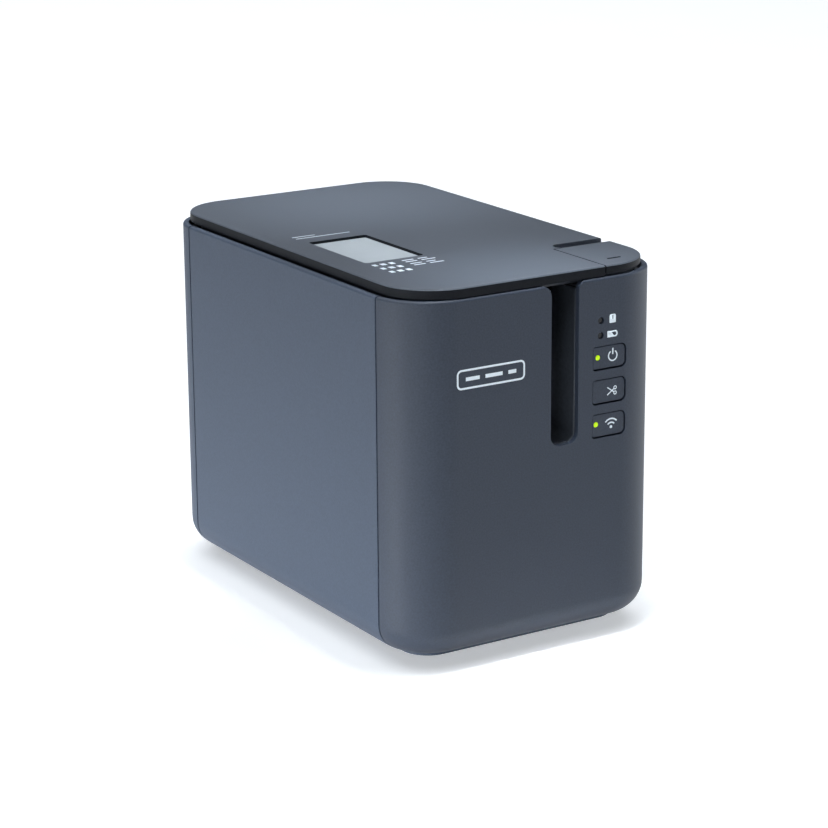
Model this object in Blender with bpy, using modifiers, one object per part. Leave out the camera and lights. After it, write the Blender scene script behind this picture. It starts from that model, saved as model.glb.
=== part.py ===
"""Desktop label maker that prints laminated tape, built from its separate pieces.

The front faces -Y, the lid is on top and the rubber feet stand on z = 0.
Sizes are written in millimetres, and MM turns them into Blender's metres.
"""

import math

import bmesh
import bpy
from mathutils import Matrix, Vector

MM = 0.001

# Housing
WIDTH = 118.0
FRONT_Y = -96.0
BACK_Y = 92.0
PANEL_Y = 96.0
SHELL_BOTTOM = 4.8
RIM_TOP = 141.9
CORNER = 22.9
BOTTOM_FILLET = 11.3
WALL = 2.4
FRONT_SEAM_Y = -75.7
REAR_SEAM_Y = 69.3
SEAM = 0.6
GAP = 0.3

# Lid
LID_BOTTOM = 142.6
LID_TOP = 146.0
LID_HALF_WIDTH = 55.5
LID_FRONT_Y = -95.4
LID_BACK_Y = 91.4
LID_CORNER = 21.8
BUTTON_SEAM_X = 28.8
BUTTON_BACK_Y = -61.6
NOTCH_BACK_Y = -55.5
NOTCH_FLOOR = 144.3
WINDOW_LOW = (-43.1, -42.5)
WINDOW_HIGH = (-17.3, 0.4)
HINGE_Y = 91.2
HINGE_Z = 142.5

# Front panel
SLOT_X = (4.1, 16.4)
SLOT_Z = 80.0
KEY_X = (22.9, 38.4)
KEY_Z = {"power": (106.3, 115.7), "cut": (93.0, 102.8), "wireless": (80.0, 89.5)}
LED_AT = {"power": (25.4, 111.3), "wireless": (24.9, 85.4)}
INDICATOR_AT = {"cassette": (26.5, 125.5), "battery": (26.4, 119.8)}

# Feed train, seen from above
MODULE = 0.8
IDLER = (-1.5, -35.0, 40)
PLATEN = (16.9, -48.0, 16)
TAKE_UP = (-24.2, -43.2, 20)
FEED_PINION = (-17.5, -21.6, 12)
GEAR_Z = (79.2, 83.2)

# Cutter drive, seen from the front: x, z and teeth
CUT_GEAR = (-8.0, 66.0, 30)
CUT_PINION = (-24.1, 66.0, 10)
CUT_GEAR_Y = (-76.3, -73.3)
BLADE_PIVOT = (9.0, 74.0)

# Base
PLATE_Z = (2.6, 5.0)
FOOT_AT = [(-32, -58), (32, -58), (-32, 54), (32, 54)]
SCREW_AT = [(-40, -70), (40, -70), (-40, 66), (40, 66)]
PCB_Z = (14.0, 15.6)

# Rear sockets: x range, top, opening size in x and z
SOCKETS = {
    "dc_inlet": (-38.0, -27.0, 27.0),
    "usb_b_socket": (-20.0, -8.0, 27.4),
    "usb_a_socket": (-2.0, 11.6, 23.2),
    "lan_socket": (17.0, 33.0, 29.6),
}
SOCKET_Y = (80.0, 95.0)


def clear_scene():
    for obj in list(bpy.data.objects):
        bpy.data.objects.remove(obj)


def collection(name):
    found = bpy.data.collections.new(name)
    bpy.context.scene.collection.children.link(found)
    return found


clear_scene()
PARTS = collection("label_maker")
CUTTERS = collection("cutters")


def material(name, color, roughness, metallic=0.0):
    made = bpy.data.materials.new(name)
    made.use_nodes = True
    shader = made.node_tree.nodes["Principled BSDF"]
    shader.inputs["Base Color"].default_value = (*color, 1.0)
    shader.inputs["Roughness"].default_value = roughness
    shader.inputs["Metallic"].default_value = metallic
    return made


SHELL = material("slate_blue_plastic", (0.105, 0.135, 0.175), 0.62)
FRONT = material("slate_front_plastic", (0.085, 0.108, 0.142), 0.58)
LID = material("graphite_plastic", (0.13, 0.14, 0.152), 0.6)
BLACK = material("black_plastic", (0.012, 0.012, 0.014), 0.35)
FRAME = material("charcoal_plastic", (0.035, 0.037, 0.042), 0.6)
CLEAR = material("clear_window", (0.6, 0.68, 0.74), 0.12)
GREEN = material("green_lens", (0.45, 0.8, 0.02), 0.3)
SMOKE = material("smoked_lens", (0.03, 0.03, 0.035), 0.2)
RUBBER = material("rubber", (0.02, 0.02, 0.021), 0.85)
STEEL = material("steel", (0.6, 0.6, 0.62), 0.35, 1.0)
DARK_STEEL = material("dark_steel", (0.25, 0.25, 0.27), 0.4, 1.0)
ALUMINIUM = material("aluminium", (0.75, 0.76, 0.78), 0.4, 1.0)
BOARD = material("circuit_board", (0.01, 0.12, 0.05), 0.5)
GEAR = material("acetal_gear", (0.8, 0.79, 0.74), 0.45)
TAPE = material("white_tape", (0.85, 0.85, 0.83), 0.5)
CASE = material("cassette_plastic", (0.62, 0.64, 0.66), 0.5)
CHIP = material("component_black", (0.02, 0.02, 0.022), 0.4)


def place(name, bm, look, origin, parent=None, cutter=False):
    """Name the mesh, put its origin at a point in millimetres and shade it smooth by angle."""
    origin = Vector(origin)
    bmesh.ops.translate(bm, verts=bm.verts, vec=-origin)
    bmesh.ops.scale(bm, verts=bm.verts, vec=(MM, MM, MM))
    bmesh.ops.recalc_face_normals(bm, faces=bm.faces)
    mesh = bpy.data.meshes.new(name)
    bm.to_mesh(mesh)
    bm.free()
    obj = bpy.data.objects.new(name, mesh)
    obj.location = origin * MM
    if cutter:
        obj.hide_render = True
        obj.display_type = "WIRE"
        CUTTERS.objects.link(obj)
        return obj
    mesh.materials.append(look)
    mesh.shade_smooth()
    mesh.set_sharp_from_angle(angle=math.radians(32))
    PARTS.objects.link(obj)
    if parent:
        obj.parent = parent
        obj.location = obj.location - parent.location
    return obj


def pivot(name, at):
    empty = bpy.data.objects.new(name, None)
    empty.location = Vector(at) * MM
    PARTS.objects.link(empty)
    return empty


def block(name, low, high, look=None, origin=None, parent=None, soft=0.0):
    """A box between two corners, its edges rounded by soft."""
    low = Vector(low)
    high = Vector(high)
    bm = bmesh.new()
    bmesh.ops.create_cube(bm, size=1.0)
    bmesh.ops.scale(bm, verts=bm.verts, vec=high - low)
    bmesh.ops.translate(bm, verts=bm.verts, vec=(low + high) / 2)
    if soft:
        bmesh.ops.bevel(bm, geom=bm.edges[:], offset=soft, segments=2, profile=0.5, affect="EDGES")
    return place(name, bm, look, origin or (low + high) / 2, parent, look is None)


def rounded(low, high, radius, steps=6):
    """Corner points of a rounded rectangle, counter-clockwise."""
    points = []
    corners = [(high[0], high[1], 0), (low[0], high[1], 90), (low[0], low[1], 180), (high[0], low[1], 270)]
    for x, y, start in corners:
        cx = x - radius if x == high[0] else x + radius
        cy = y - radius if y == high[1] else y + radius
        for k in range(steps + 1):
            turn = math.radians(start + 90 * k / steps)
            points.append((cx + radius * math.cos(turn), cy + radius * math.sin(turn)))
    return points


def slab(name, outline, low, high, look=None, axis="Z", origin=None, parent=None, fillet=0.0):
    """A flat outline pushed from low to high along one axis, with a fillet round its low face."""
    bm = bmesh.new()
    verts = [bm.verts.new((u, v, low)) for u, v in outline]
    face = bm.faces.new(verts)
    pushed = bmesh.ops.extrude_face_region(bm, geom=[face])
    moved = [g for g in pushed["geom"] if isinstance(g, bmesh.types.BMVert)]
    bmesh.ops.translate(bm, verts=moved, vec=(0, 0, high - low))
    bmesh.ops.recalc_face_normals(bm, faces=bm.faces)
    if fillet:
        rim = [e for e in bm.edges if all(abs(v.co.z - low) < 1e-6 for v in e.verts)]
        bmesh.ops.bevel(bm, geom=rim, offset=fillet, segments=5, profile=0.5, affect="EDGES")
    if axis == "Y":
        bmesh.ops.transform(bm, verts=bm.verts, matrix=Matrix(((1, 0, 0, 0), (0, 0, 1, 0), (0, 1, 0, 0), (0, 0, 0, 1))))
    if axis == "X":
        bmesh.ops.transform(bm, verts=bm.verts, matrix=Matrix(((0, 0, 1, 0), (1, 0, 0, 0), (0, 1, 0, 0), (0, 0, 0, 1))))
    if origin is None:
        mid_u = sum(p[0] for p in outline) / len(outline)
        mid_v = sum(p[1] for p in outline) / len(outline)
        mid = {"Z": (mid_u, mid_v, low), "Y": (mid_u, low, mid_v), "X": (low, mid_u, mid_v)}
        origin = mid[axis]
    return place(name, bm, look, origin, parent, look is None)


def turned(name, profile, at, look=None, axis="Z", steps=24, parent=None):
    """A profile of (radius, height) points, listed from the top down, turned about an axis."""
    mesh = bpy.data.meshes.new(name)
    points = [(r * MM, 0, h * MM) for r, h in profile]
    closed = profile[0][0] > 0
    count = len(points)
    edges = [(k, k + 1) for k in range(count - 1)]
    if closed:
        edges.append((count - 1, 0))
    mesh.from_pydata(points, edges, [])
    obj = bpy.data.objects.new(name, mesh)
    obj.location = Vector(at) * MM
    turns = {"Z": (0, 0, 0), "Y": (-math.pi / 2, 0, 0), "X": (0, math.pi / 2, 0)}
    obj.rotation_euler = turns[axis]
    spin = obj.modifiers.new("turn", "SCREW")
    spin.steps = steps
    spin.render_steps = steps
    spin.use_merge_vertices = True
    spin.merge_threshold = 0.00001
    spin.use_smooth_shade = True
    if look is None:
        obj.hide_render = True
        obj.display_type = "WIRE"
        CUTTERS.objects.link(obj)
        return obj
    mesh.materials.append(look)
    PARTS.objects.link(obj)
    if parent:
        obj.parent = parent
        obj.location = obj.location - parent.location
    return obj


def rod(name, radius, low, high, at, look=None, axis="Z", steps=24, parent=None):
    """A plain cylinder from low to high along its axis through a point."""
    return turned(name, [(0, high), (radius, high), (radius, low), (0, low)], at, look, axis, steps, parent)


def shape(obj, kind, others):
    for other in others:
        step = obj.modifiers.new(kind.lower(), "BOOLEAN")
        step.operation = kind
        step.solver = "EXACT"
        step.object = other
    return obj


def cut(obj, *others):
    return shape(obj, "DIFFERENCE", others)


def join(obj, *others):
    return shape(obj, "UNION", others)


def keep(obj, *others):
    return shape(obj, "INTERSECT", others)


def gear_outline(teeth, phase):
    """Points round a spur gear, with its first tooth at an angle in degrees."""
    pitch = 2 * math.pi / teeth
    middle = teeth * MODULE / 2
    points = []
    for k in range(teeth):
        turn = math.radians(phase) + k * pitch
        for radius, share in (
            (middle - 1.1 * MODULE, -0.24),
            (middle + 0.8 * MODULE, -0.09),
            (middle + 0.8 * MODULE, 0.09),
            (middle - 1.1 * MODULE, 0.24),
        ):
            points.append((radius * math.cos(turn + share * pitch), radius * math.sin(turn + share * pitch)))
    return points


def mesh_phase(first, second, phase):
    """The angle of the second gear's first tooth that puts it in mesh with the first gear."""
    bearing = math.degrees(math.atan2(second[1] - first[1], second[0] - first[0]))
    ahead = (bearing - phase) * first[2] / 360
    share = ahead - math.floor(ahead)
    return bearing + 180 + (share - 0.5) * 360 / second[2]


def gear(name, spec, phase, low, high, look, axis="Z"):
    """A toothed wheel on its own axis; an upright or a front-to-back shaft can be joined to it."""
    outline = [(spec[0] + u, spec[1] + v) for u, v in gear_outline(spec[2], phase)]
    middle = (spec[0], spec[1], low) if axis == "Z" else (spec[0], low, spec[1])
    return slab(name, outline, low, high, look, axis, middle)


def housing_form(name, inset, bottom, top, fillet):
    half = WIDTH / 2 - inset
    outline = rounded((-half, FRONT_Y + inset), (half, BACK_Y - inset), CORNER - inset, 8)
    return slab(name, outline, bottom, top, None, fillet=fillet)


def build_covers():
    """Front, sides and back of the housing, each a section of one rounded shell."""
    hollow = housing_form("cut_hollow", WALL, SHELL_BOTTOM + WALL, 160, BOTTOM_FILLET - WALL)
    mouth = slab("cut_mouth", rounded((-47.4, -84.4), (47.4, 80.4), 11.6), 0, 8, None)
    sections = {
        "front_cover": ((-70, -110, 0), (70, FRONT_SEAM_Y, 150), FRONT),
        "left_side_cover": ((-70, FRONT_SEAM_Y + SEAM, 0), (-30, REAR_SEAM_Y, 150), SHELL),
        "right_side_cover": ((30, FRONT_SEAM_Y + SEAM, 0), (70, REAR_SEAM_Y, 150), SHELL),
        "rear_cover": ((-70, REAR_SEAM_Y + SEAM, 0), (70, 110, 150), SHELL),
    }
    covers = {}
    for name, (low, high, look) in sections.items():
        half = WIDTH / 2
        outline = rounded((-half, FRONT_Y), (half, BACK_Y), CORNER, 8)
        cover = slab(name, outline, SHELL_BOTTOM, RIM_TOP, look, fillet=BOTTOM_FILLET)
        keep(cover, block("keep_" + name, low, high))
        covers[name] = cover
    panel_out = slab("join_panel", rounded((-42, 13.0), (42, 50), 5), 88, PANEL_Y, None, axis="Y")
    panel_in = slab("cut_panel", rounded((-39.8, 15.2), (39.8, 47.8), 3), 80, PANEL_Y - 2.2, None, axis="Y")
    join(covers["rear_cover"], panel_out)
    for cover in covers.values():
        cut(cover, hollow, mouth)
    cut(covers["rear_cover"], panel_in)
    return covers


def cut_front(front):
    slot = slab("cut_slot", rounded((SLOT_X[0], SLOT_Z), (SLOT_X[1], 190), 4), -100, -90, None, axis="Y")
    cut(front, slot)
    for name, (low, high) in KEY_Z.items():
        hole = slab("cut_key_" + name, rounded((KEY_X[0], low), (KEY_X[1], high), 2, 4), -100, -90, None, axis="Y")
        cut(front, hole)
    for name, (x, z) in INDICATOR_AT.items():
        cut(front, rod("cut_indicator_" + name, 1.5, -6, 6, (x, FRONT_Y, z), axis="Y"))


def cut_rear(rear):
    for name, (left, right, top) in SOCKETS.items():
        hole = block("cut_port_" + name, (left - GAP, 90, 15.5), (right + GAP, 100, top + GAP))
        cut(rear, hole)
    for side in (-1, 1):
        low = min(side * 18.7, side * 35.3)
        high = max(side * 18.7, side * 35.3)
        cut(rear, block(f"cut_hinge_bay_{side}", (low, 86, 139.9), (high, 100, 150)))
        for inner, outer in ((19.0, 21.6), (32.4, 35.0)):
            low = min(side * inner, side * outer)
            high = max(side * inner, side * outer)
            middle = (inner + outer) / 2
            ear = rod(f"join_ear_{side}_{inner}", 2.0, -1.3, 1.3, (side * middle, HINGE_Y, HINGE_Z), axis="X")
            join(rear, block(f"join_stem_{side}_{inner}", (low + 0.2, 90.0, 136), (high - 0.2, 91.6, HINGE_Z)), ear)
        cut(rear, rod(f"cut_pin_{side}", 1.0, -9, 9, (side * 27, HINGE_Y, HINGE_Z), axis="X"))


def build_base():
    outline = rounded((-47.0, -84.0), (47.0, 80.0), 11.3)
    plate = slab("base_plate", outline, PLATE_Z[0], PLATE_Z[1], SHELL)
    for k, (x, y) in enumerate(SCREW_AT):
        join(plate, rod(f"join_boss_{k}", 4.0, 3.5, PCB_Z[0] - GAP, (x, y, 0)))
        cut(plate, rod(f"cut_boss_{k}", 1.6, 0, 20, (x, y, 0)))
        cut(plate, rod(f"cut_head_{k}", 3.2, 0, 4.4, (x, y, 0)))
        profile = [(0, 12.6), (1.3, 12.6), (1.3, 4.1), (2.8, 4.1), (2.8, 2.9), (1.0, 2.9), (1.0, 3.5), (0, 3.5)]
        turned(f"base_screw_{k + 1}", profile, (x, y, 0), DARK_STEEL, steps=16)
    for step in plate.modifiers:
        step.solver = "MANIFOLD"
    for k, (x, y) in enumerate(FOOT_AT):
        turned(f"foot_{k + 1}", [(0, 2.3), (7, 2.3), (7, 0.8), (6.2, 0), (0, 0)], (x, y, 0), RUBBER)


def build_frame():
    """The moulded compartment under the lid, with the cassette pocket and the wells round it."""
    half = WIDTH / 2 - 2.8
    outline = rounded((-half, FRONT_Y + 3.2), (half, BACK_Y - 3.2), CORNER - 3, 8)
    frame = slab("compartment_frame", outline, 84.5, 139.2, FRAME)
    wells = {
        "pocket": ((-50, -62, 88), (12, 34, 150)),
        "platen": ((9, -56, 88), (23.6, -38, 150)),
        "guide": ((2.3, -110, 80), (18.3, -79.9, 150)),
        "cutter": ((-14, -80, 80), (24, -61.9, 150)),
        "claw": ((22.6, -83, 129), (30, -69, 150)),
        "release": ((29.9, -90, 129), (52, -64, 150)),
        "key_board": ((21.5, -110, 80), (45, -79.4, 127)),
        "right": ((26.5, -76, 80), (53.6, 72, 125)),
        "rear": ((-50, 38, 80), (22, 80, 136.6)),
    }
    for name, (low, high) in wells.items():
        cut(frame, block("cut_well_" + name, low, high))
    for name, (x, y, teeth) in (("platen", PLATEN), ("take_up", TAKE_UP)):
        cut(frame, rod("cut_shaft_" + name, 2.6, 80, 90, (x, y, 0)))
    guide = block("slot_guide", (2.6, -93.3, 77.6), (18.0, -80.5, 138.9), BLACK)
    channel = slab("cut_channel", rounded((SLOT_X[0], SLOT_Z), (SLOT_X[1], 190), 4), -100, -83, None, axis="Y")
    cut(guide, channel, block("cut_exit", (9.4, -90, 84), (14.6, -70, 150)))


def lid_form(name, inset, low, high, look=None, parent=None):
    half = LID_HALF_WIDTH - inset
    outline = rounded((-half, LID_FRONT_Y + inset), (half, LID_BACK_Y - inset), LID_CORNER - inset, 8)
    return slab(name, outline, low, high, look, origin=(0, HINGE_Y, HINGE_Z), parent=parent)


def build_lid():
    """Lid panel with its window, inner liner, latch claw and two hinge knuckles."""
    hinge = pivot("lid_hinge", (0, HINGE_Y, HINGE_Z))
    panel = lid_form("lid_panel", 0, LID_BOTTOM, LID_TOP, LID, hinge)
    corner = block("cut_release_corner", (BUTTON_SEAM_X - 0.2, -120, 100), (80, BUTTON_BACK_Y + 0.2, 160))
    notch = slab("cut_notch", rounded((29.6, BUTTON_BACK_Y - 0.1), (90, NOTCH_BACK_Y), 2.9), NOTCH_FLOOR, 160, None)
    cut(panel, corner, notch)
    low, high = WINDOW_LOW, WINDOW_HIGH
    cut(panel, slab("cut_window", rounded(low, high, 1.5, 4), 130, 160, None))
    for side in (-1, 1):
        for inner, outer in ((18.7, 21.9), (32.1, 35.3)):
            left = min(side * inner, side * outer)
            right = max(side * inner, side * outer)
            cut(panel, block(f"cut_knuckle_{side}_{inner}", (left, 88.7, 130), (right, 100, 144.8)))
        barrel = rod(f"join_barrel_{side}", 2.0, -5.1, 5.1, (side * 27, HINGE_Y, HINGE_Z), axis="X")
        join(panel, barrel)
        cut(panel, rod(f"cut_bore_{side}", 1.0, -9, 9, (side * 27, HINGE_Y, HINGE_Z), axis="X"))
        label = "left" if side < 0 else "right"
        rod(f"hinge_pin_{label}", 0.7, -7.8, 7.8, (side * 27, HINGE_Y, HINGE_Z), STEEL, axis="X", steps=16)
    inner_low = (low[0] + GAP, low[1] + GAP)
    inner_high = (high[0] - GAP, high[1] - GAP)
    origin = (0, HINGE_Y, HINGE_Z)
    window = slab("lid_window", rounded(inner_low, inner_high, 1.3, 4), 141.9, 144.9, CLEAR, "Z", origin, hinge)
    join(window, block("join_window_rim", (low[0] - 2, low[1] - 2, 140.8), (high[0] + 2, high[1] + 2, 142.3)))
    outline = rounded((-53.4, -88.8), (53.4, 84.0), 18.5, 8)
    liner = slab("lid_liner", outline, 139.6, 142.3, BLACK, "Z", origin, hinge)
    cut(liner, block("cut_liner_corner", (27.4, -120, 130), (80, -54.6, 160)))
    cut(liner, block("cut_liner_window", (low[0] - 2.4, low[1] - 2.4, 130), (high[0] + 2.4, high[1] + 2.4, 160)))
    claw = block("lid_claw", (23.2, -80, 131), (26.4, -72, 139.3), BLACK, origin, hinge)
    cut(claw, block("cut_claw", (25.2, -81, 133), (28, -71, 137)))


def build_release_button():
    origin = (42, -76, LID_TOP)
    half = LID_HALF_WIDTH
    outline = rounded((-half, LID_FRONT_Y), (half, LID_BACK_Y), LID_CORNER, 8)
    button = slab("release_button", outline, 144.0, LID_TOP, LID, "Z", origin)
    keep(button, block("keep_release", (29.0, -120, 130), (80, BUTTON_BACK_Y - 0.3, 160)))
    skirt = lid_form("join_skirt", 3.6, 140.9, 144.6)
    keep(skirt, block("keep_skirt", (30.4, -120, 130), (80, -63.4, 160)))
    join(button, skirt, block("join_stem", (37, -80, 132), (46, -72, 142)))


def build_keys():
    """Three press keys behind the front cover, their switches, lenses and light pipes."""
    for name, (low, high) in KEY_Z.items():
        middle = (low + high) / 2
        origin = ((KEY_X[0] + KEY_X[1]) / 2, FRONT_Y, middle)
        outline = rounded((KEY_X[0] + GAP, low + GAP), (KEY_X[1] - GAP, high - GAP), 1.7, 4)
        key = slab(name + "_button", outline, -95.8, -92.8, FRONT, "Y", origin)
        flange = block("join_flange_" + name, (22.0, -93.2, low - 0.8), (39.2, -92.2, high + 0.8))
        join(key, flange, rod("join_stem_" + name, 1.5, -93, -89.4, (32, 0, middle), axis="Y", steps=16))
        block(name + "_switch", (29, -88.3, middle - 3), (35, -86.0, middle + 3), CHIP)
        if name in LED_AT:
            x, z = LED_AT[name]
            cut(key, rod("cut_lens_" + name, 1.3, -99, -90, (x, 0, z), axis="Y"))
            rod(name + "_lens", 1.0, -95.9, -91.5, (x, 0, z), GREEN, "Y", 16)
    for name, (x, z) in INDICATOR_AT.items():
        rod(name + "_light_pipe", 1.2, -95.8, -88.0, (x, 0, z), SMOKE, "Y", 16)
    block("key_board", (24.6, -85.7, 74), (43, -84.1, 126.6), BOARD)


def build_boards():
    board = block("main_board", (-45, -78, PCB_Z[0]), (45, 78, PCB_Z[1]), BOARD)
    for k, (x, y) in enumerate(SCREW_AT):
        cut(board, rod(f"cut_board_{k}", 1.7, 10, 20, (x, y, 0), steps=16))
    block("processor", (2, -20, 15.9), (20, -2, 17.9), CHIP)
    for name, (left, right, top) in SOCKETS.items():
        look = BLACK if name == "dc_inlet" else STEEL
        socket = block(name, (left, SOCKET_Y[0], 15.9), (right, SOCKET_Y[1], top), look)
        middle = ((left + right) / 2, (15.9 + top) / 2)
        if name == "dc_inlet":
            cut(socket, rod("cut_dc", 3.2, 84, 99, (middle[0], 0, middle[1]), axis="Y"))
            join(socket, rod("join_dc_pin", 1.0, 82, 94, (middle[0], 0, middle[1]), axis="Y", steps=16))
        else:
            hole = block("cut_" + name, (left + 1.6, 84.5, 17.7), (right - 1.6, 99, top - 1.6))
            cut(socket, hole)
        if name == "usb_a_socket":
            join(socket, block("join_tongue", (left + 2.5, 84, 18.6), (right - 2.5, 94, 20.2)))


def build_feed():
    """Chassis plate, motor, gear train, platen roller and the thermal head on its arm."""
    chassis = block("chassis_plate", (-52, -62, 76), (22.5, 36, 78), STEEL)
    cut(chassis, rod("cut_motor_shaft", 6.2, 70, 84, (FEED_PINION[0], FEED_PINION[1], 0)))
    profile = [(0, 75.4), (3, 75.4), (3, 73.6), (12, 73.6), (12, 44), (0, 44)]
    motor = turned("feed_motor", profile, (FEED_PINION[0], FEED_PINION[1], 0), STEEL)
    keep(motor, block("keep_motor", (FEED_PINION[0] - 20, FEED_PINION[1] - 10, 30), (20, FEED_PINION[1] + 10, 90)))
    idler = gear("idler_gear", IDLER, 0, GEAR_Z[0], GEAR_Z[1], GEAR)
    join(idler, rod("join_idler", 1.5, 78.3, 84.1, (IDLER[0], IDLER[1], 0), steps=16))
    phase = mesh_phase(IDLER, FEED_PINION, 0)
    pinion = gear("feed_pinion", FEED_PINION, phase, 76.2, GEAR_Z[1], GEAR)
    phase = mesh_phase(IDLER, PLATEN, 0)
    platen = gear("platen_gear", PLATEN, phase, GEAR_Z[0], GEAR_Z[1], GEAR)
    join(platen, rod("join_platen", 2.0, 80, 136, (PLATEN[0], PLATEN[1], 0), steps=16))
    tube = [(4.5, 134), (4.5, 92), (2.3, 92), (2.3, 134)]
    turned("platen_roller", tube, (PLATEN[0], PLATEN[1], 0), RUBBER)
    phase = mesh_phase(IDLER, TAKE_UP, 0)
    shaft = gear("take_up_gear", TAKE_UP, phase, GEAR_Z[0], GEAR_Z[1], GEAR)
    join(shaft, rod("join_take_up", 2.0, 80, 131, (TAKE_UP[0], TAKE_UP[1], 0), steps=16))
    at = (8.5, -38.5, 89)
    arm = block("head_arm", (6.5, -55, 88.4), (10.4, -37, 131), ALUMINIUM, at)
    cut(arm, rod("cut_arm", 1.3, 80, 140, (8.5, -38.5, 0), steps=16))
    rod("head_pivot", 1.0, 88.4, 133, (8.5, -38.5, 0), STEEL, steps=16)
    block("print_head", (10.7, -53, 91), (11.7, -43, 130), CHIP, at)


def build_cutter():
    """Scissor cutter behind the slot: fixed blade, pivoting blade, gear pair and motor."""
    block("fixed_blade", (13.4, -79.5, 82), (17.4, -78.6, 135), STEEL)
    x, z = BLADE_PIVOT
    outline = [(x - 6, z - 5), (x + 2, z - 5), (x + 3, z + 6), (x + 2, z + 60), (x - 2, z + 60), (x - 5, z + 6)]
    blade = slab("moving_blade", outline, -78.3, -77.5, STEEL, "Y", (x, -78, z))
    cut(blade, rod("cut_blade_pivot", 1.5, -90, -70, (x, 0, z), axis="Y"))
    rod("blade_pivot", 1.2, -79.3, -72, (x, 0, z), DARK_STEEL, "Y", 16)
    low, high = CUT_GEAR_Y
    wheel = gear("cutter_gear", CUT_GEAR, 0, low, high, GEAR, "Y")
    join(wheel, rod("join_cutter_axle", 1.5, -76.9, -66, (CUT_GEAR[0], 0, CUT_GEAR[1]), axis="Y", steps=16))
    phase = mesh_phase(CUT_GEAR, CUT_PINION, 0)
    gear("cutter_pinion", CUT_PINION, phase, low, high, GEAR, "Y")
    rod("cutter_motor", 8.0, -72.8, -45, (CUT_PINION[0], 0, CUT_PINION[1]), STEEL, "Y")


def build_cassette():
    """Tape cassette: two case halves round the tape roll and the take-up spool."""
    outline = [(-47, -58), (3, -58), (3, -33), (8.2, -33), (8.2, 31), (-47, 31)]
    room = [(-45.4, -56.4), (1.4, -56.4), (1.4, -31.4), (6.6, -31.4), (6.6, 29.4), (-45.4, 29.4)]
    roll = (-24, 8)
    for name, low, high, inner in (
        ("cassette_lower", 90, 112.8, (91.6, 120)),
        ("cassette_upper", 113.1, 136.2, (100, 134.6)),
    ):
        case = slab(name, outline, low, high, CASE)
        cut(case, slab("cut_room_" + name, room, inner[0], inner[1], None))
        for k, (x, y, radius) in enumerate(((*roll, 4.5), (TAKE_UP[0], TAKE_UP[1], 4.0))):
            cut(case, rod(f"cut_hub_{name}_{k}", radius, 80, 140, (x, y, 0)))
    hub = [(6.7, 130), (6.7, 96), (4.8, 96), (4.8, 130)]
    turned("tape_hub", hub, (*roll, 0), GEAR)
    turned("tape_roll", [(19.5, 131), (19.5, 95), (7, 95), (7, 131)], (*roll, 0), TAPE)
    turned("ribbon_spool", [(6.5, 130), (6.5, 96), (2.3, 96), (2.3, 130)], (TAKE_UP[0], TAKE_UP[1], 0), GEAR)


covers = build_covers()
cut_front(covers["front_cover"])
cut_rear(covers["rear_cover"])
build_base()
build_frame()
build_lid()
build_release_button()
build_keys()
build_boards()
build_feed()
build_cutter()
build_cassette()
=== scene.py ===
"""Desktop label maker: finished surfaces, materials, light and camera over its CAD frame.

The front faces -Y and +X is on the right when facing it. Sizes are millimetres, turned
into metres by MM.
"""

import math

import bmesh
import bpy
from mathutils import Matrix, Vector


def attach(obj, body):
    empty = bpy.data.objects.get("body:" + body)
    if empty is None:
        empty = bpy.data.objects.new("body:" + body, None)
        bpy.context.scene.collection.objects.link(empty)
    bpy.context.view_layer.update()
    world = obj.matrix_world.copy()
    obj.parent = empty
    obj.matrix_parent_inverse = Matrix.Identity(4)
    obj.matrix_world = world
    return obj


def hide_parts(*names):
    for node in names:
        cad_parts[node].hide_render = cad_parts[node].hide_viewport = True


MM = 0.001
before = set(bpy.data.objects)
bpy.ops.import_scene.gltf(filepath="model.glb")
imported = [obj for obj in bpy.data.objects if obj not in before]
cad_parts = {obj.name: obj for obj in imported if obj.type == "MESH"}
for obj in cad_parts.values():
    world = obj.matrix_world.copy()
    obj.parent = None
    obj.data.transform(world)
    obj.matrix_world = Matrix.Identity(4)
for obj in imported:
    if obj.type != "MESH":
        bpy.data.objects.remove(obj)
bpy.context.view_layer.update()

# Housing
WIDTH = 118.0
FRONT_Y = -96.0
BACK_Y = 92.0
PANEL_Y = 96.0
SHELL_BOTTOM = 4.8
RIM_TOP = 141.9
RIM_OUTER_EDGE = 1.1
RIM_INNER_EDGE = 0.4
CORNER = 22.9
BOTTOM_FILLET = 11.3
WALL = 2.4
FRONT_SEAM_Y = -75.7
REAR_SEAM_Y = 69.3
SEAM = 0.7

# Lid and release button
LID_SKIRT = 142.15
LID_TOP = 146.0
LID_EDGE = 0.75
LID_HALF_WIDTH = 55.5
LID_FRONT_Y = -95.4
LID_BACK_Y = 91.4
LID_CORNER = 21.8
# Below this height the side faces of the lid and the button take the painted shade.
SIDE_SHADE_TOP = LID_TOP - 0.6
BUTTON_SEAM_X = 28.8
BUTTON_BACK_Y = -61.6
BUTTON_BOTTOM = 142.95
NOTCH_LEFT_X = 31.2
NOTCH_BACK_Y = -55.5
NOTCH_FLOOR = 144.3
NOTCH_CORNER = 2.9
WINDOW_LOW = (-43.1, -42.5)
WINDOW_HIGH = (-17.3, 0.4)
WINDOW_GAP = 0.12

# Hinge
HINGE_Y = 91.2
HINGE_Z = 142.5
HINGE_RADIUS = 2.0
HINGE_X = 27
BARREL_HALF = 5.1
EARS_X = ((19.0, 21.6), (32.4, 35.0))
EAR_GAPS_X = ((18.7, 21.9), (32.1, 35.3))

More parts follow.
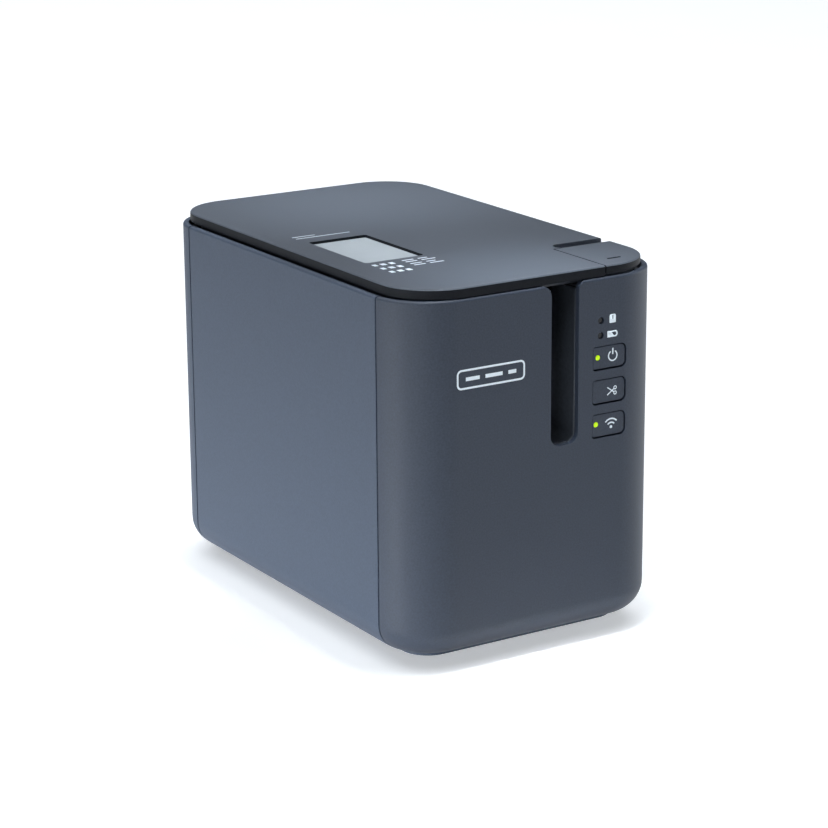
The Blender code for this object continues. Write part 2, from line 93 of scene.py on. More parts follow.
# Front: slot, keys, lights and icons
SLOT_X = (4.1, 16.4)
SLOT_Z = 80.0
SLOT_CORNER = 4.0
FLARE_LEFT = 4.4
FLARE_RIGHT = 3.4
GUIDE_TOP = 138.6
KEY_FACE_Y = -95.75
KEY_X = (22.9, 38.4)
KEY_Z = {"power": (106.3, 115.7), "cut": (93.0, 102.8), "wireless": (80.0, 89.5)}
LED_AT = {"power": (25.4, 111.3), "wireless": (24.9, 85.4)}
INDICATOR_AT = {"cassette": (26.5, 125.5), "battery": (26.4, 119.8)}
PRINT_THICKNESS = 0.06
ICON_PROUD = 0.04
ICON_SUNK = 0.2

# Back: left edge, right edge and top of each opening
SOCKETS = {
    "dc_inlet": (-38.0, -27.0, 27.0),
    "usb_b_socket": (-20.0, -8.0, 27.4),
    "usb_a_socket": (-2.0, 11.6, 23.2),
    "lan_socket": (17.0, 33.0, 29.6),
}
SOCKETS_BOTTOM = 15.6
BAY_LOW = (-39.8, 15.2)
BAY_HIGH = (39.8, 47.8)

# Underside
SCREWS_AT = ((-40, -70), (40, -70), (-40, 66), (40, 66))
FEET_AT = ((-32, -58), (32, -58), (-32, 54), (32, 54))

LIGHT_COLOR = (0.9, 0.95, 1.0)
LIGHTS = (
    # name, place, target, size (metres), watts, spread (degrees)
    ("overhead", (0.0, 1.2, 3.4), (0, 1.2, 0), (6.0, 6.0), 220, 180),
    ("key_left", (-1.5, 0.05, 0.07), (-0.06, 0, -0.16), (1.2, 0.16), 2.5, 26),
    ("rim_right", (1.7, -0.25, 0.4), (0.06, -0.08, 0.08), (0.6, 0.6), 0.8, 60),
    ("fill_left", (-1.2, -1.1, 0.25), (0, -0.09, 0.03), (0.5, 0.5), 0.35, 50),
    ("top_front", (0.0, -0.1, 0.62), (0, -0.1, 0), (0.06, 0.06), 0.045, 18),
    ("top_back", (0.01, 0.06, 0.62), (0.01, 0.06, 0), (0.1, 0.1), 0.05, 20),
)
CAMERA_PLACE = (-0.54115, -0.87508, 0.36857)
CAMERA_RIGHT = (0.84879, -0.52867, -0.0076)
CAMERA_UP = (0.1524, 0.23086, 0.96098)
CAMERA_BACK = (-0.50629, -0.81683, 0.27653)

CUTTERS = bpy.data.collections.new("cutters")
bpy.context.scene.collection.children.link(CUTTERS)


# Materials

def shader_of(look):
    return look.node_tree.nodes["Principled BSDF"]


def base_material(name, color, roughness, metallic=0.0):
    look = bpy.data.materials.new(name)
    look.use_nodes = True
    shader = shader_of(look)
    shader.inputs["Base Color"].default_value = (*color, 1.0)
    shader.inputs["Roughness"].default_value = roughness
    shader.inputs["Metallic"].default_value = metallic
    return look


def object_noise(look, scale, detail=4.0, stretch=(1, 1, 1)):
    nodes = look.node_tree.nodes
    links = look.node_tree.links
    place = nodes.new("ShaderNodeTexCoord")
    mapping = nodes.new("ShaderNodeMapping")
    mapping.inputs["Scale"].default_value = stretch
    noise = nodes.new("ShaderNodeTexNoise")
    noise.inputs["Scale"].default_value = scale
    noise.inputs["Detail"].default_value = detail
    links.new(place.outputs["Object"], mapping.inputs["Vector"])
    links.new(mapping.outputs["Vector"], noise.inputs["Vector"])
    return noise


def vary_color(look, color, noise, amount):
    """Drifts the colour by the given share to either side."""
    links = look.node_tree.links
    ramp = look.node_tree.nodes.new("ShaderNodeValToRGB")
    dark, light = ramp.color_ramp.elements
    dark.position = 0.3
    light.position = 0.7
    dark.color = (*[c * (1 - amount) for c in color], 1)
    light.color = (*[min(1, c * (1 + amount)) for c in color], 1)
    links.new(noise.outputs["Fac"], ramp.inputs["Fac"])
    links.new(ramp.outputs["Color"], shader_of(look).inputs["Base Color"])


def vary_roughness(look, noise, low, high):
    links = look.node_tree.links
    spread = look.node_tree.nodes.new("ShaderNodeMapRange")
    spread.inputs["To Min"].default_value = low
    spread.inputs["To Max"].default_value = high
    links.new(noise.outputs["Fac"], spread.inputs["Value"])
    links.new(spread.outputs["Result"], shader_of(look).inputs["Roughness"])


def add_bump(look, noise, strength, distance):
    links = look.node_tree.links
    bump = look.node_tree.nodes.new("ShaderNodeBump")
    bump.inputs["Strength"].default_value = strength
    bump.inputs["Distance"].default_value = distance
    links.new(noise.outputs["Fac"], bump.inputs["Height"])
    links.new(bump.outputs["Normal"], shader_of(look).inputs["Normal"])


def add_glow(look, color, strength):
    shader = shader_of(look)
    shader.inputs["Emission Color"].default_value = (*color, 1)
    shader.inputs["Emission Strength"].default_value = strength


def grained(name, color, rough, grain=1500.0, bump=0.4, depth=0.00008, tint=0.16, gloss=0.4):
    """Moulded plastic with a fine spark-eroded grain and faint colour drift."""
    look = base_material(name, color, sum(rough) / 2)
    shader_of(look).inputs["Specular IOR Level"].default_value = gloss
    fine = object_noise(look, grain, 3.0)
    vary_color(look, color, fine, tint)
    vary_roughness(look, fine, *rough)
    add_bump(look, fine, bump, depth)
    return look


def brushed(name, color, rough):
    """Metal with fine lines along one axis."""
    look = base_material(name, color, rough, 1.0)
    lines = object_noise(look, 400.0, 4.0, (1, 30, 1))
    vary_color(look, color, lines, 0.08)
    vary_roughness(look, lines, rough * 0.75, rough * 1.25)
    add_bump(look, lines, 0.15, 0.00003)
    return look


def window_material():
    """The clear window over the cassette, seen as a pale coated pane."""
    look = grained("clear_window", (0.79, 0.86, 0.91), (0.1, 0.16), 60.0, 0.02, 0.00002, 0.02)
    shader = shader_of(look)
    shader.inputs["Coat Weight"].default_value = 1.0
    shader.inputs["Coat Roughness"].default_value = 0.05
    return look


def lens_material(name, color, glow):
    look = grained(name, color, (0.2, 0.3), 800.0, 0.04, 0.00002, 0.04)
    add_glow(look, color, glow)
    return look


SHELL = grained("slate_shell", (0.049, 0.066, 0.099), (0.5, 0.62))
# Painted shade: the front cover and the keys take a darker copy of the shell slate, for the lesser
# light falling on the front face.
FRONT_PAINTED_SHADE = grained("slate_front", (0.033, 0.043, 0.065), (0.44, 0.56))
LID = grained("graphite_lid", (0.067, 0.079, 0.1), (0.46, 0.58))
# Painted shade: a much darker copy of the lid plastic, laid on the sides of the lid and button and
# on the walls of their cuts, where shade falls.
SIDE_SHADE = grained("lid_side_painted_shade", (0.0085, 0.01, 0.0135), (0.42, 0.52), 1500.0, 0.15, 0.00005,
               gloss=0.12)
GUIDE = grained("slot_black", (0.048, 0.055, 0.067), (0.3, 0.4), 900.0, 0.1, 0.00004)
FRAME = grained("charcoal_frame", (0.03, 0.032, 0.036), (0.5, 0.62))
CASE = grained("cassette_grey", (0.42, 0.44, 0.47), (0.42, 0.54))
RUBBER = grained("rubber", (0.018, 0.018, 0.019), (0.75, 0.9), 1100.0, 0.35, 0.00008)
ACETAL = grained("acetal", (0.72, 0.71, 0.67), (0.36, 0.46), 500.0, 0.05, 0.00003, 0.02)
CHIP = grained("component_black", (0.02, 0.02, 0.022), (0.4, 0.5), 900.0, 0.1)
GLOWING_PRINT = grained("white_print_painted_glow", (0.72, 0.79, 0.84), (0.45, 0.55), 1800.0, 0.08, 0.00002, 0.03)
# Painted light: the white print glows faintly, so it stays bright whatever light falls on it.
add_glow(GLOWING_PRINT, (0.8, 0.9, 1.0), 0.1)
TAPE = grained("white_tape", (0.78, 0.78, 0.76), (0.3, 0.4), 700.0, 0.05, 0.00002, 0.02)
PLATE = grained("blank_plate", (0.33, 0.34, 0.36), (0.4, 0.5), 900.0, 0.05, 0.00002, 0.02)
BOARD = grained("circuit_board", (0.008, 0.09, 0.04), (0.32, 0.42), 300.0, 0.1, 0.00003, 0.15)
STEEL = brushed("steel", (0.58, 0.58, 0.6), 0.32)
DARK_STEEL = brushed("dark_steel", (0.16, 0.16, 0.17), 0.4)
ALUMINIUM = brushed("aluminium", (0.74, 0.75, 0.77), 0.36)
WINDOW = window_material()
GREEN = lens_material("green_lens", (0.5, 0.78, 0.0), 0.4)
SMOKE = lens_material("smoked_lens", (0.012, 0.013, 0.016), 0.0)


# Outlines: lists of points in one plane

def corner_radii(low, high, radii, steps=8):
    """Rounded rectangle, counter-clockwise from its right top corner, one radius a corner."""
    points = []
    corners = [
        (high[0], high[1], 0),
        (low[0], high[1], 90),
        (low[0], low[1], 180),
        (high[0], low[1], 270),
    ]
    for (x, y, start), radius in zip(corners, radii):
        cx = x - radius if x == high[0] else x + radius
        cy = y - radius if y == high[1] else y + radius
        for k in range(steps + 1):
            turn = math.radians(start + 90 * k / steps)
            points.append((cx + radius * math.cos(turn), cy + radius * math.sin(turn)))
    return points


def rounded(low, high, radius, steps=16):
    return corner_radii(low, high, (radius,) * 4, steps)


def arc(center, radius, start, end, steps=20):
    points = []
    for k in range(steps + 1):
        turn = math.radians(start + (end - start) * k / steps)
        points.append((center[0] + radius * math.cos(turn), center[1] + radius * math.sin(turn)))
    return points


def level(points, z):
    return [(x, y, z) for x, y in points]


def span(side, inner, outer):
    """Lowest and highest X of a stretch on the left (side -1) or right (side 1)."""
    return min(side * inner, side * outer), max(side * inner, side * outer)


# Bodies, in millimetres

def stacked(rings, closed=False):
    """A body through rings of equal point counts; capped, unless it closes on itself."""
    bm = bmesh.new()
    rows = [[bm.verts.new(p) for p in ring] for ring in rings]
    count = len(rows[0])
    pairs = list(zip(rows, rows[1:]))
    if closed:
        pairs.append((rows[-1], rows[0]))
    for lower, upper in pairs:
        for k in range(count):
            after = (k + 1) % count
            bm.faces.new((lower[k], lower[after], upper[after], upper[k]))
    if not closed:
        bm.faces.new(rows[0][::-1])
        bm.faces.new(rows[-1])
    return bm


def turn_axis(bm, axis):
    """Swaps coordinates so that a body built along Z runs along the given axis."""
    swaps = {
        "Y": ((1, 0, 0, 0), (0, 0, 1, 0), (0, 1, 0, 0), (0, 0, 0, 1)),
        "X": ((0, 0, 1, 0), (1, 0, 0, 0), (0, 1, 0, 0), (0, 0, 0, 1)),
    }
    if axis in swaps:
        bmesh.ops.transform(bm, verts=bm.verts, matrix=Matrix(swaps[axis]))
    return bm


def slab(points, low, high, axis="Z"):
    """A flat outline between two heights along one axis."""
    return turn_axis(stacked([level(points, low), level(points, high)]), axis)


def box(low, high):
    points = [(low[0], low[1]), (high[0], low[1]), (high[0], high[1]), (low[0], high[1])]
    return slab(points, low[2], high[2])


def disc(center, radius, low, high, axis="Z", steps=40):
    ring = []
    for k in range(steps):
        turn = 2 * math.pi * k / steps
        ring.append((center[0] + radius * math.cos(turn), center[1] + radius * math.sin(turn)))
    return slab(ring, low, high, axis)


# Objects

def to_mesh(name, bm):
    bmesh.ops.scale(bm, verts=bm.verts, vec=(MM, MM, MM))
    bmesh.ops.recalc_face_normals(bm, faces=bm.faces)
    mesh = bpy.data.meshes.new(name)
    bm.to_mesh(mesh)
    bm.free()
    return mesh


def to_object(name, bm, looks):
    mesh = to_mesh(name, bm)
    for look in looks:
        mesh.materials.append(look)
    obj = bpy.data.objects.new(name, mesh)
    bpy.context.scene.collection.objects.link(obj)
    mesh.shade_smooth()
    return obj


def tool(name, bm, second=False):
    """A hidden cutter; the faces it leaves take the second material when second is set."""
    for face in bm.faces:
        face.material_index = 1 if second else 0
    name = "cutter_" + name
    obj = bpy.data.objects.new(name, to_mesh(name, bm))
    CUTTERS.objects.link(obj)
    obj.hide_render = True
    obj.hide_viewport = True
    return obj


def boolean(obj, kind, other):
    step = obj.modifiers.new(kind.lower(), "BOOLEAN")
    step.operation = kind
    step.solver = "EXACT"
    step.object = other


def cut(obj, name, bm, second=False):
    boolean(obj, "DIFFERENCE", tool(name, bm, second))


def keep(obj, name, bm, second=False):
    boolean(obj, "INTERSECT", tool(name, bm, second))


def soften(obj, width, segments=3):
    """Rounds the edges that are still sharp."""
    edge = obj.modifiers.new("bevel", "BEVEL")
    edge.width = width * MM
    edge.segments = segments
    edge.limit_method = "ANGLE"
    edge.angle_limit = math.radians(32)
    edge.use_clamp_overlap = True
    edge.harden_normals = True


def even(obj):
    """Shades flat faces flat, next to their rounded edges."""
    step = obj.modifiers.new("weighted", "WEIGHTED_NORMAL")
    step.keep_sharp = True
    step.weight = 80


def piece(obj, body, slot, *nodes):
    """Puts an object on its body, its cutters with it, in place of its CAD nodes."""
    for step in obj.modifiers:
        if step.type == "BOOLEAN":
            step.object.parent = obj
    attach(obj, body)
    if nodes:
        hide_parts(*nodes)


# Housing covers

def shell_ring(inset, z):
    half = WIDTH / 2 - inset
    low = (-half, FRONT_Y + inset)
    high = (half, BACK_Y - inset)
    return level(rounded(low, high, CORNER - inset, 20), z)


def shell_rings():
    """Rings of the whole hollow shell: up the outside, over the rim and down the inside."""
    rings = []
    fillet = BOTTOM_FILLET
    for k in range(13):
        turn = math.radians(90 * k / 12)
        z = SHELL_BOTTOM + fillet * (1 - math.cos(turn))
        rings.append(shell_ring(fillet * (1 - math.sin(turn)), z))
    edge = RIM_OUTER_EDGE
    for k in range(6):
        turn = math.radians(90 * k / 5)
        rings.append(shell_ring(edge * (1 - math.cos(turn)), RIM_TOP - edge * (1 - math.sin(turn))))
    edge = RIM_INNER_EDGE
    for k in range(4):
        turn = math.radians(90 * k / 3)
        z = RIM_TOP - edge * (1 - math.cos(turn))
        rings.append(shell_ring(WALL - edge * (1 - math.sin(turn)), z))
    inner = BOTTOM_FILLET - WALL
    for k in range(9):
        turn = math.radians(90 * (8 - k) / 8)
        z = SHELL_BOTTOM + WALL + inner * (1 - math.cos(turn))
        rings.append(shell_ring(WALL + inner * (1 - math.sin(turn)), z))
    return rings


def slot_outline(inset=0.0, top=RIM_TOP + 4, flare=True):
    """Tape slot seen from the front: round bottom corners and flared top corners."""
    left, right = SLOT_X[0] + inset, SLOT_X[1] - inset
    bottom = SLOT_Z + inset
    radius = SLOT_CORNER - inset * 0.4
    points = arc((left + radius, bottom + radius), radius, 180, 270, 12)
    points += arc((right - radius, bottom + radius), radius, 270, 360, 12)
    if not flare:
        return points + [(right, top), (left, top)]
    wide = FLARE_RIGHT
    points += arc((right + wide, RIM_TOP - wide), wide, 180, 90, 10)
    points.append((right + wide, top))
    wide = FLARE_LEFT
    points.append((left - wide, top))
    points += arc((left - wide, RIM_TOP - wide), wide, 90, 0, 10)
    return points


def build_front():
    front = to_object("front_shell", stacked(shell_rings(), True), [FRONT_PAINTED_SHADE])
    keep(front, "front_keep", box((-70, -110, 0), (70, FRONT_SEAM_Y, 150)))
    cut(front, "slot", slab(slot_outline(), -110, -84, "Y"))
    soften(front, 0.55, 4)
    for name, (low, high) in KEY_Z.items():
        hole = corner_radii((KEY_X[0], low), (KEY_X[1], high), (2.6, 1.3, 1.4, 2.4))
        cut(front, "key_" + name, slab(hole, -110, -90, "Y"))
    for name, place in INDICATOR_AT.items():
        cut(front, "indicator_" + name, disc(place, 1.35, -110, -90, "Y"))
    soften(front, 0.22, 2)
    even(front)
    piece(front, "housing", "slate_front", "front_cover")


def build_sides():
    for side, name in ((-1, "left"), (1, "right")):
        low, high = span(side, 30, 70)
        shell = to_object(name + "_side_shell", stacked(shell_rings(), True), [SHELL])
        part = box((low, FRONT_SEAM_Y + SEAM, 0), (high, REAR_SEAM_Y, 150))
        keep(shell, name + "_keep", part)
        soften(shell, 0.35, 3)
        even(shell)
        piece(shell, "housing", "slate_shell", name + "_side_cover")


def build_rear():
    """Rear cover, with its air vents, the bay behind the sockets and the hinge bays."""
    rear = to_object("rear_shell", stacked(shell_rings(), True), [SHELL])
    keep(rear, "rear_keep", box((-70, REAR_SEAM_Y + SEAM, 0), (70, 110, 150)))
    cut(rear, "rear_bay", slab(rounded(BAY_LOW, BAY_HIGH, 3, 8), 85, 99, "Y"))
    for side in (-1, 1):
        low, high = span(side, EAR_GAPS_X[0][0], EAR_GAPS_X[1][1])
        cut(rear, f"bay_{side}", box((low, 86, 139.9), (high, 100, 150)))
    for k in range(9):
        x = -32 + 8 * k
        groove = slab(rounded((x - 1.3, 92), (x + 1.3, 122), 1.25, 6), 88, 100, "Y")
        cut(rear, f"vent_{k}", groove)
    soften(rear, 0.3, 2)
    even(rear)
    piece(rear, "housing", "slate_shell", "rear_cover")


def build_socket_panel():
    outline = rounded((-42, 13), (42, 50), 5, 10)
    panel = to_object("socket_panel", slab(outline, 92.3, PANEL_Y, "Y"), [SHELL])
    cut(panel, "panel_back", slab(rounded(BAY_LOW, BAY_HIGH, 3, 8), 80, 93.8, "Y"))
    soften(panel, 0.9, 4)
    for name, (left, right, top) in SOCKETS.items():
        hole = rounded((left - 0.3, SOCKETS_BOTTOM), (right + 0.3, top + 0.3), 0.8, 5)
        cut(panel, "port_" + name, slab(hole, 80, 110, "Y"))
    soften(panel, 0.2, 2)
    even(panel)
    piece(panel, "housing", "slate_shell")


def build_hinge_ears():
    """Two pairs of ears that hold the lid's barrels."""
    outline = [(90.0, 137), (91.7, 137)]
    outline += arc((HINGE_Y, HINGE_Z), HINGE_RADIUS, -60, 210, 12)
    for side in (-1, 1):
        for inner, outer in EARS_X:
            low, high = span(side, inner, outer)
            name = f"hinge_ear_{side + 1}_{int(inner)}"
            ear = to_object(name, slab(outline, low, high, "X"), [SHELL])
            soften(ear, 0.25, 2)
            piece(ear, "housing", "slate_shell")


def build_slot_guide():
    """The tape channel behind the slot, narrowing as it goes in, with a bowl-shaped foot."""
    steps = 14
    bm = bmesh.new()
    rows = []
    for k in range(steps + 1):
        share = k / steps
        inset = 2.4 * (1 - math.sqrt(max(0.0, 1 - share ** 2)))
        y = -93.5 + 12.4 * share
        outline = slot_outline(inset - 0.02, GUIDE_TOP, False)
        rows.append([bm.verts.new((x, y, z)) for x, z in outline])
    count = len(rows[0])
    for lower, upper in zip(rows, rows[1:]):
        for k in range(count - 2):
            bm.faces.new((lower[k], lower[k + 1], upper[k + 1], upper[k]))
        bm.faces.new((lower[count - 1], lower[0], upper[0], upper[count - 1]))
    guide = to_object("slot_channel", bm, [GUIDE])
    wall = guide.modifiers.new("wall", "SOLIDIFY")
    wall.thickness = 0.9 * MM
    wall.offset = 1.0
    piece(guide, "housing", "black_plastic", "slot_guide")
    for name, low, high in (("left", 6.8, 9.3), ("right", 14.7, 15.6)):
        form = box((low, -81.0, 83.4), (high, -80.3, GUIDE_TOP))
        lip = to_object(f"exit_lip_{name}", form, [GUIDE])
        soften(lip, 0.3, 2)
        piece(lip, "housing", "black_plastic")


# Lid and release button

def lid_ring(inset, z):
    half = LID_HALF_WIDTH - inset
    low = (-half, LID_FRONT_Y + inset)
    high = (half, LID_BACK_Y - inset)
    return level(rounded(low, high, LID_CORNER - inset, 20), z)


def lid_body(bottom):
    """The lid's whole form with its rounded top edge, from the given height up."""
    rings = [lid_ring(0.2, bottom), lid_ring(0.0, bottom + 0.2)]
    edge = LID_EDGE
    for k in range(5):
        turn = math.radians(90 * k / 4)
        rings.append(lid_ring(edge * (1 - math.cos(turn)), LID_TOP - edge * (1 - math.sin(turn))))
    return stacked(rings)


def paint_side_shade(obj):
    """Painted shade: the side faces below the top edge take the second material, a darkened copy of
    the lid plastic.
    """
    for face in obj.data.polygons:
        if face.center.z < SIDE_SHADE_TOP * MM and abs(face.normal.z) < 0.9:
            face.material_index = 1


def build_lid():
    panel = to_object("lid_top", lid_body(LID_SKIRT), [LID, SIDE_SHADE])
    paint_side_shade(panel)
    # Painted shade: the walls left by the button's corner, the window opening and the knuckle gaps
    # take the darkened second material.
    corner = box((BUTTON_SEAM_X - 0.3, -120, 100), (80, BUTTON_BACK_Y + 0.15, 160))
    cut(panel, "release_corner", corner, True)
    low, high = (NOTCH_LEFT_X, BUTTON_BACK_Y - 0.1), (90, NOTCH_BACK_Y)
    cut(panel, "notch", slab(rounded(low, high, NOTCH_CORNER, 10), NOTCH_FLOOR, 160))
    opening = slab(rounded(WINDOW_LOW, WINDOW_HIGH, 1.2, 6), 130, 160)
    cut(panel, "window", opening, True)
    for side in (-1, 1):
        for inner, outer in EAR_GAPS_X:
            low, high = span(side, inner, outer)
            gap = box((low, 88.7, 130), (high, 100, 144.8))
            cut(panel, f"knuckle_{side}_{int(inner)}", gap, True)
    soften(panel, 0.25, 3)
    even(panel)
    piece(panel, "lid", "graphite_lid", "lid_panel")


def build_hinge_barrels():
    for side, name in ((-1, "left"), (1, "right")):
        low, high = side * HINGE_X - BARREL_HALF, side * HINGE_X + BARREL_HALF
        form = disc((HINGE_Y, HINGE_Z), HINGE_RADIUS, low, high, "X")
        barrel = to_object(f"hinge_barrel_{name}", form, [LID])
        soften(barrel, 0.3, 2)
        piece(barrel, "lid", "graphite_lid")


def build_window():
    low = (WINDOW_LOW[0] + WINDOW_GAP, WINDOW_LOW[1] + WINDOW_GAP)
    high = (WINDOW_HIGH[0] - WINDOW_GAP, WINDOW_HIGH[1] - WINDOW_GAP)
    pane = to_object("window_pane", slab(rounded(low, high, 1.1, 6), 141.9, 145.0), [WINDOW])
    soften(pane, 0.25, 3)
    even(pane)
    piece(pane, "lid", "clear_window", "lid_window")


def build_release():
    """The button in the lid's front right corner, and the narrower skirt under it."""
    # Painted shade: the button's sides and its cut walls take the darkened copy of the lid plastic.
    cap = to_object("release_cap", lid_body(BUTTON_BOTTOM), [LID, SIDE_SHADE])
    paint_side_shade(cap)
    corner = box((BUTTON_SEAM_X + 0.3, -120, 130), (80, BUTTON_BACK_Y - 0.25, 160))
    keep(cap, "release_keep", corner, True)
    # The dash groove's walls and floor take the painted shade, so it reads dark.
    dash = slab(rounded((36.1, -86.6), (42.3, -85.5), 0.5, 6), LID_TOP - 0.9, LID_TOP + 2)
    cut(cap, "dash", dash, True)
    soften(cap, 0.2, 3)
    even(cap)
    piece(cap, "release", "graphite_lid", "release_button")
    half = LID_HALF_WIDTH - 2.3
    low, high = (-half, LID_FRONT_Y + 2.4), (half, LID_BACK_Y - 2.4)
    outline = rounded(low, high, LID_CORNER - 2.35, 16)
    skirt = to_object("release_skirt", slab(outline, 140.6, 143.4), [LID])
    keep(skirt, "skirt_keep", box((30.4, -120, 130), (80, -63.4, 160)))
    soften(skirt, 0.3, 2)
    piece(skirt, "release", "graphite_lid")


# Keys, lights and prints

def stroke(name, points, width, height, body, closed=False, flat="Y"):
    """A printed line of even width on a surface at the given height along the flat axis."""
    curve = bpy.data.curves.new(name, "CURVE")
    curve.dimensions = "3D"
    curve.bevel_depth = width / 2 * MM
    curve.bevel_resolution = 3
    curve.use_fill_caps = True
    line = curve.splines.new("POLY")
    line.points.add(len(points) - 1)
    line.use_cyclic_u = closed
    for point, (u, v) in zip(line.points, points):
        where = (u, 0, v) if flat == "Y" else (u, v, 0)
        point.co = (where[0] * MM, where[1] * MM, where[2] * MM, 1)
    obj = bpy.data.objects.new(name, curve)
    squeeze = PRINT_THICKNESS / width
    if flat == "Y":
        obj.location = (0, height * MM, 0)
        obj.scale = (1, squeeze, 1)
    else:
        obj.location = (0, 0, height * MM)
        obj.scale = (1, 1, squeeze)
    curve.materials.append(GLOWING_PRINT)
    bpy.context.scene.collection.objects.link(obj)
    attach(obj, body)


def icon(name, points, y):
    """A flat printed shape, a hair proud of the surface at y."""
    return to_object(name, slab(points, y - ICON_PROUD, y + ICON_SUNK, "Y"), [GLOWING_PRINT])


def build_keys():
    """The keys with their green lights, and the two dark lights above them."""
    for name, (low, high) in KEY_Z.items():
        near, far = (KEY_X[0] + 0.2, low + 0.6), (KEY_X[1] - 0.62, high - 0.25)
        outline = corner_radii(near, far, (2.2, 1.0, 1.1, 2.0))
        # The keys take the front's painted shade too.
        key = to_object(name + "_key", slab(outline, KEY_FACE_Y, -92.6, "Y"), [FRONT_PAINTED_SHADE])
        if name in LED_AT:
            cut(key, "led_" + name, disc(LED_AT[name], 1.05, -99, -94.4, "Y", 24))
        soften(key, 0.3, 3)
        even(key)
        body = name + "_key"
        piece(key, body, "slate_front", name + "_button")
        if name in LED_AT:
            form = disc(LED_AT[name], 1.0, KEY_FACE_Y - 0.05, -93, "Y", 24)
            lens = to_object(name + "_led", form, [GREEN])
            soften(lens, 0.25, 3)
            piece(lens, body, "green_lens", name + "_lens")
    for name, place in INDICATOR_AT.items():
        pipe = to_object(name + "_pipe", disc(place, 1.2, -95.3, -88, "Y", 24), [SMOKE])
        soften(pipe, 0.25, 3)
        piece(pipe, "housing", "smoked_lens", name + "_light_pipe")


def build_key_icons():
    """Power, scissors and wireless signs, printed on the keys."""
    y = KEY_FACE_Y
    stroke("power_ring", arc((32.2, 111.3), 1.95, 122, 418), 0.55, y, "power_key")
    stroke("power_bar", [(32.2, 111.8), (32.2, 114.2)], 0.6, y, "power_key")
    for side in (-1, 1):
        arm = [(29.9, 97.7 + side * 1.5), (32.9, 97.7 - side * 0.6)]
        stroke(f"scissor_arm_{side + 1}", arm, 0.45, y, "cut_key")
        loop = arc((33.5, 97.7 + side * 1.0), 0.6, 0, 360, 20)[:-1]
        stroke(f"scissor_loop_{side + 1}", loop, 0.4, y, "cut_key", closed=True)
    for k, radius in enumerate((2.0, 3.5)):
        wave = arc((31.8, 83.3), radius, 42, 138)
        stroke(f"wireless_arc_{k}", wave, 0.62, y, "wireless_key")
    form = disc((31.8, 83.6), 0.6, y - ICON_PROUD, y + ICON_SUNK, "Y", 20)
    dot = to_object("wireless_dot", form, [GLOWING_PRINT])
    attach(dot, "wireless_key")


def build_light_icons():
    """Cassette and battery signs, printed beside the two dark lights."""
    outline = corner_radii((30.3, 124.05), (33.2, 127.4), (0.8, 0.8, 0.35, 0.35), 5)
    cassette = icon("cassette_icon", outline, FRONT_Y)
    cut(cassette, "icon_gap", box((31.6, -99, 125.5), (32.05, -90, 127.0)))
    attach(cassette, "housing")
    cell = [(29.4, 118.6), (33.5, 118.6), (34.1, 119.3), (34.1, 120.3), (33.5, 121.0),
            (29.4, 121.0)]
    battery = icon("battery_icon", cell, FRONT_Y)
    empty = [(32.4, 119.1), (33.1, 119.1), (33.55, 119.8), (33.1, 120.5), (31.3, 120.5)]
    cut(battery, "battery_gap", slab(empty, -99, -90, "Y"))
    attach(battery, "housing")


def build_marks():
    """Plain prints: an outline with three bars on the front, bars and blocks on the lid."""
    outline = rounded((-37, 108.6), (-8, 115.4), 1.6, 6)
    stroke("front_mark_frame", outline, 0.8, FRONT_Y, "housing", closed=True)
    for k, (left, right) in enumerate(((-33.5, -27.5), (-25, -17.5), (-15, -11.5))):
        stroke(f"front_mark_bar_{k}", [(left, 112), (right, 112)], 1.5, FRONT_Y, "housing")
    top = LID_TOP
    stroke("lid_mark_line", [(-44, 8.2), (-20, 8.2)], 0.7, top, "lid", flat="Z")
    stroke("lid_mark_line_short", [(-44, 11.2), (-34, 11.2)], 0.7, top, "lid", flat="Z")
    for row, y in enumerate((-47.6, -53.6, -59.8)):
        for k, (left, right) in enumerate(((-43.0, -41.2), (-39.6, -37.4), (-35.8, -33.8))):
            block = [(left, y), (right, y)]
            stroke(f"lid_mark_block_{row}_{k}", block, 2.8, top, "lid", flat="Z")
        if row == 2:
            continue
        for step, shift in enumerate((1.3, -1.3)):
            ends = [(-29.5, -24.5), (-22.5, -18.5 + 2 * step)]
            for k, (left, right) in enumerate(ends):
                line = [(left, y + shift), (right, y + shift)]
                stroke(f"lid_mark_{row}_{step}_{k}", line, 1.0, top, "lid", flat="Z")


# Underside

def build_base():
    """The base plate with its screw wells, vents and blank rating plate."""
    tray = slab(rounded((-47.0, -84.0), (47.0, 80.0), 11.3, 12), 2.6, 5.0)
    plate = to_object("base_tray", tray, [SHELL])
    for k, place in enumerate(SCREWS_AT):
        cut(plate, f"screw_{k}", disc(place, 3.2, 0, 4.4))
    for k in range(7):
        x = -24 + 8 * k
        cut(plate, f"base_vent_{k}", slab(rounded((x - 1.2, 20), (x + 1.2, 44), 1.15, 6), 0, 9))
    cut(plate, "label_recess", slab(rounded((-30, -44), (30, -6), 2, 8), 1, 2.8))
    soften(plate, 0.4, 3)
    even(plate)
    piece(plate, "housing", "slate_shell", "base_plate")
    form = slab(rounded((-29.4, -43.4), (29.4, -6.6), 1.6, 8), 2.65, 2.9)
    blank = to_object("rating_plate", form, [PLATE])
    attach(blank, "housing")


def build_feet():
    for k, place in enumerate(FEET_AT, 1):
        foot = to_object(f"rubber_foot_{k}", disc(place, 7, 0, 2.5, "Z", 48), [RUBBER])
        soften(foot, 0.7, 4)
        even(foot)
        piece(foot, "housing", "rubber", f"foot_{k}")


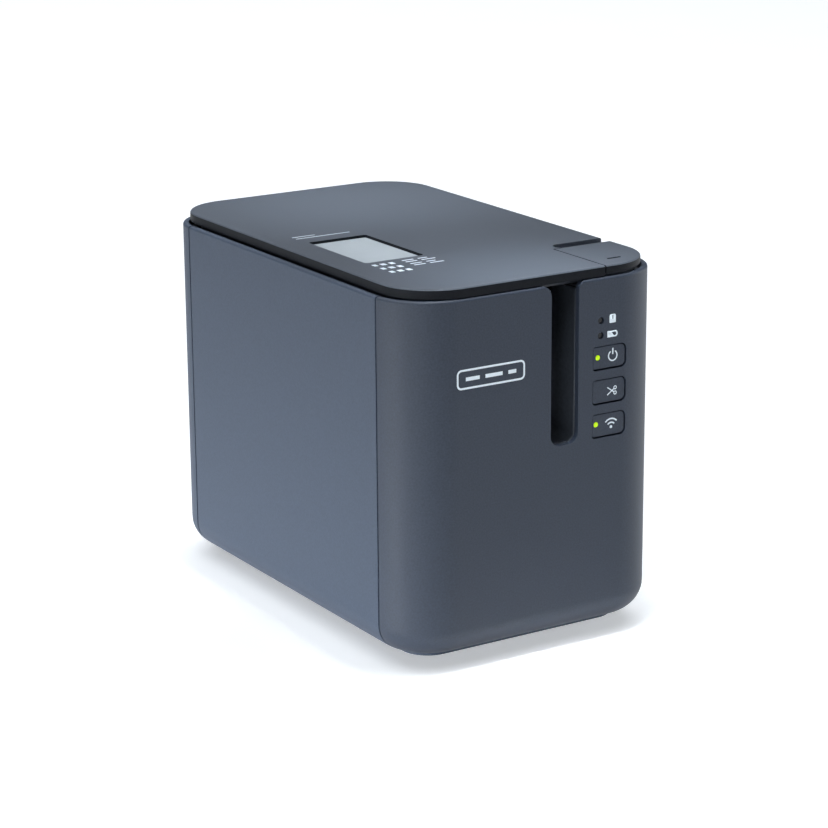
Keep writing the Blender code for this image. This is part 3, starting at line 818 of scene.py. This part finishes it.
def dress_cad():
    """Materials for the nodes whose CAD shape is shown as it is."""
    looks = {
        FRAME: ["compartment_frame"],
        GUIDE: ["lid_liner", "lid_claw", "dc_inlet"],
        STEEL: [
            "hinge_pin_left", "hinge_pin_right", "usb_b_socket", "usb_a_socket", "lan_socket",
            "chassis_plate", "feed_motor", "cutter_motor", "head_pivot", "fixed_blade",
            "moving_blade",
        ],
        DARK_STEEL: ["blade_pivot", "base_screw_1", "base_screw_2", "base_screw_3", "base_screw_4"],
        ALUMINIUM: ["head_arm"],
        BOARD: ["key_board", "main_board"],
        CHIP: ["processor", "power_switch", "cut_switch", "wireless_switch", "print_head"],
        ACETAL: [
            "feed_pinion", "idler_gear", "platen_gear", "take_up_gear", "cutter_gear",
            "cutter_pinion", "tape_hub", "ribbon_spool",
        ],
        RUBBER: ["platen_roller"],
        TAPE: ["tape_roll"],
        CASE: ["cassette_lower", "cassette_upper"],
    }
    for look, names in looks.items():
        for name in names:
            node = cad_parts[name]
            node.data.materials.clear()
            node.data.materials.append(look)


# Stage

def build_floor():
    pale = grained("pale_floor", (0.85, 0.85, 0.85), (0.6, 0.7), 20.0, 0.02, 0.00005, 0.005)
    add_glow(pale, (0.96, 0.98, 1.0), 0.4)
    floor = to_object("floor", box((-6000, -6000, -2), (6000, 6000, 0)), [pale])


def build_world():
    """A studio that is dim in front of the object and bright behind it."""
    world = bpy.data.worlds.new("studio")
    bpy.context.scene.world = world
    world.use_nodes = True
    nodes = world.node_tree.nodes
    links = world.node_tree.links
    place = nodes.new("ShaderNodeTexCoord")
    split = nodes.new("ShaderNodeSeparateXYZ")
    spread = nodes.new("ShaderNodeMapRange")
    spread.inputs["From Min"].default_value = 0.1
    spread.inputs["From Max"].default_value = 0.9
    spread.inputs["To Min"].default_value = 0.06
    spread.inputs["To Max"].default_value = 0.8
    links.new(place.outputs["Generated"], split.inputs["Vector"])
    links.new(split.outputs["Y"], spread.inputs["Value"])
    links.new(spread.outputs["Result"], nodes["Background"].inputs["Strength"])


def build_lights():
    for name, place, target, size, power, spread in LIGHTS:
        data = bpy.data.lights.new(name, "AREA")
        data.shape = "RECTANGLE"
        data.size, data.size_y = size
        data.energy = power
        data.color = LIGHT_COLOR
        data.spread = math.radians(spread)
        lamp = bpy.data.objects.new(name, data)
        lamp.location = place
        aim = Vector(target) - Vector(place)
        lamp.rotation_euler = aim.to_track_quat("-Z", "Y").to_euler()
        bpy.context.scene.collection.objects.link(lamp)


def build_camera():
    scene = bpy.context.scene
    scene.view_settings.view_transform = "Standard"
    scene.view_settings.look = "None"
    data = bpy.data.cameras.new("camera")
    data.lens = 116.1
    data.sensor_width = 36.0
    data.shift_x = 0.0075
    data.shift_y = -0.006
    data.clip_end = 50
    camera = bpy.data.objects.new("camera", data)
    axes = Matrix((CAMERA_RIGHT, CAMERA_UP, CAMERA_BACK)).transposed().to_4x4()
    camera.matrix_world = Matrix.Translation(CAMERA_PLACE) @ axes
    scene.collection.objects.link(camera)
    scene.camera = camera


build_front()
build_sides()
build_rear()
build_socket_panel()
build_hinge_ears()
build_slot_guide()
build_lid()
build_hinge_barrels()
build_window()
build_release()
build_keys()
build_key_icons()
build_light_icons()
build_marks()
build_base()
build_feet()
dress_cad()
build_floor()
build_world()
build_lights()
build_camera()
